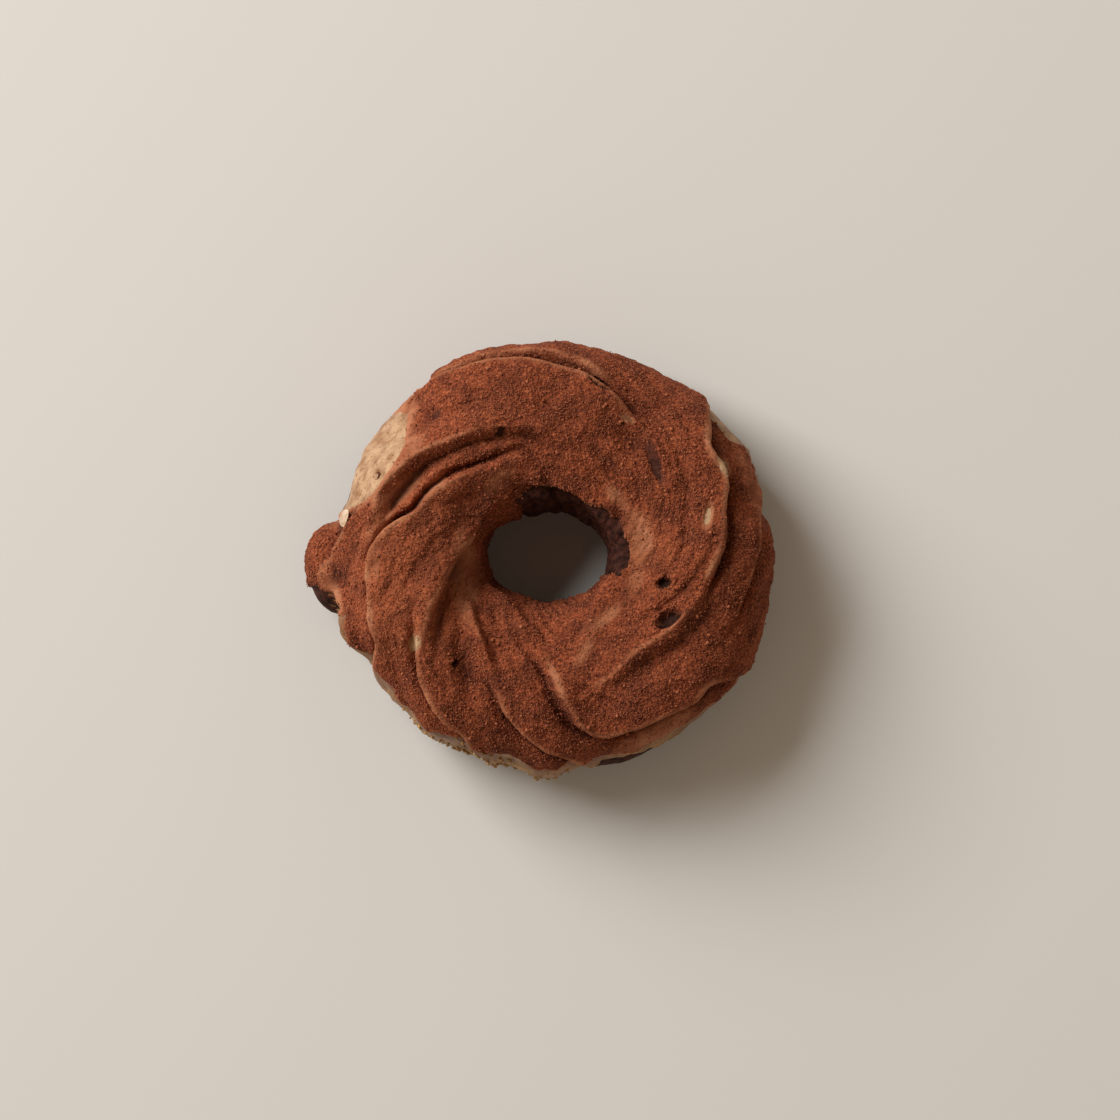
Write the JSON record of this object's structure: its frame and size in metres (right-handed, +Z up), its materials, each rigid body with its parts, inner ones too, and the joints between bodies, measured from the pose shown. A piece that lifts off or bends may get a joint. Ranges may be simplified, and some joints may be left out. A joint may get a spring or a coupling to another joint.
{
  "type": "cruller doughnut",
  "caption": "Ring of piped, fried dough with a hole through it; folds twist from the hole over the crown to the rim, glazed and dusted with cocoa, with the piping's tail on one side",
  "frame": {"origin": "centre of the bounding box at the base, on the surface that the doughnut rests on", "axes": "+Z up along the hole; the piping's tail sticks out towards -X; the picture's right is +X and its top is +Y"},
  "size_m": [0.0882, 0.0816, 0.0295],
  "materials": {
    "cruller": "matte, dusted"
  },
  "bodies": {
    "root": {"cruller": "cruller"}
  },
  "joints": []
}
